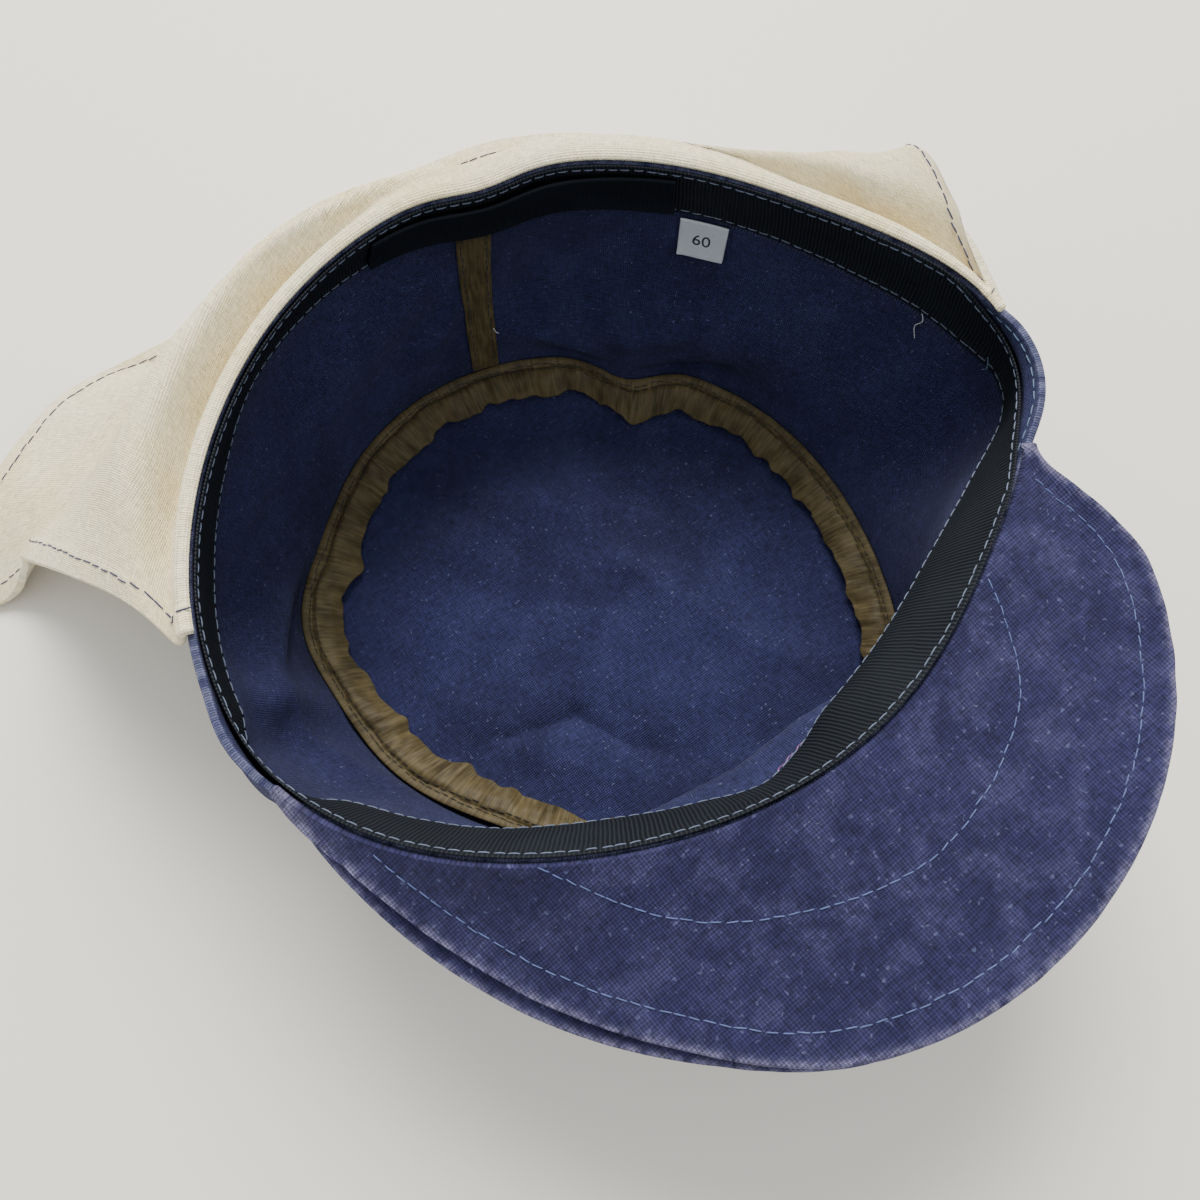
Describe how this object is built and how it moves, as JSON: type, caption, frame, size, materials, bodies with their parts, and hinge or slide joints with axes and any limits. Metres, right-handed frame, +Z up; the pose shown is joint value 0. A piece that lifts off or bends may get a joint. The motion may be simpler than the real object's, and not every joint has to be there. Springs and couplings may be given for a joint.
{
  "type": "neck flap sun hat",
  "caption": "Soft cloth work cap with a short curved peak and a long cotton neck flap, lying crown down and open upwards.",
  "frame": {"origin": "on the floor under the middle of the whole hat as it lies on its top panel", "axes": "+Z up out of the open crown, -Y towards the peak, +Y towards the back seam and the neck flap"},
  "size_m": [0.317, 0.3124, 0.0928],
  "materials": {
    "navy_canvas": "washed navy cotton canvas, matt, paler where worn",
    "faded_navy_canvas": "sun-faded navy cotton canvas, matt, purplish, pale at the edges",
    "black_ribbon": "ribbed black ribbon with a dull sheen",
    "black_elastic": "plain matt black tape",
    "brown_tape": "brown bias tape with a soft satin sheen",
    "white_satin": "white satin tab",
    "cream_cotton": "unbleached cream cotton, plain weave, matt",
    "sewing_thread": "twisted cotton sewing thread, pale blue, navy or brown by seam"
  },
  "bodies": {
    "root": {"crown_side": "navy_canvas", "crown_top": "navy_canvas", "peak_under": "faded_navy_canvas", "peak_outer": "faded_navy_canvas", "sweatband": "black_ribbon", "back_elastic": "black_elastic", "seam_binding_ring": "brown_tape", "seam_binding_back": "brown_tape", "size_label": "white_satin", "neck_flap": "cream_cotton"}
  },
  "joints": []
}
